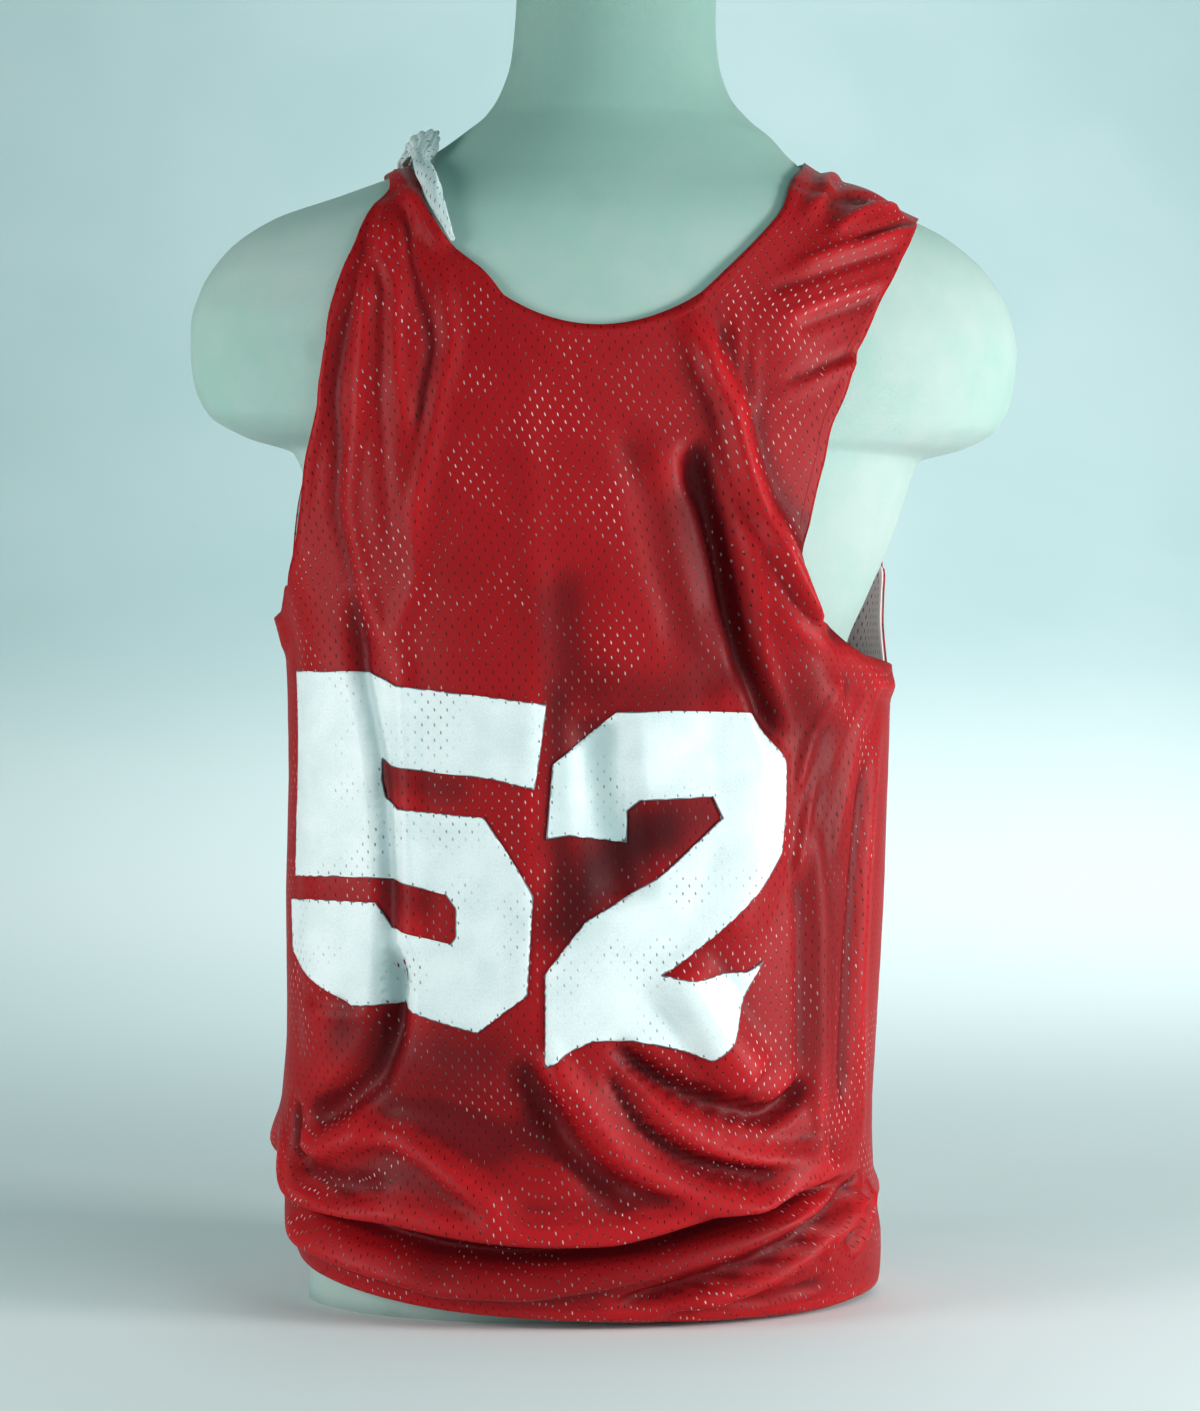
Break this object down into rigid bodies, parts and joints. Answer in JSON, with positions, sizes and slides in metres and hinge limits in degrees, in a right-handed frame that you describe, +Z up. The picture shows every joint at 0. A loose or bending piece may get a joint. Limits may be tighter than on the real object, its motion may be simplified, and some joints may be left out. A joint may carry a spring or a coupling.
{
  "type": "basketball jersey on a limbless dress form",
  "caption": "Sleeveless reversible mesh basketball jersey with a deep round neck, bunched at its hem, hung on a limbless dress form with rounded shoulder stubs.",
  "frame": {"origin": "on the flat base of the dress form, below the middle of its neck", "axes": "+Z up, the jersey's front faces -Y, +X is the viewer's right"},
  "size_m": [0.506, 0.2758, 0.799],
  "materials": {
    "form_cover": "matt stretch cover, pale green",
    "red_mesh": "polyester mesh, soft sheen",
    "white_mesh": "polyester mesh, matt"
  },
  "bodies": {
    "root": {"dress_form": "form_cover", "front_panel": "red_mesh", "back_panel": "red_mesh", "back_lining_right": "white_mesh", "back_lining_left": "white_mesh", "strap_lining_roll": "white_mesh"}
  },
  "joints": []
}
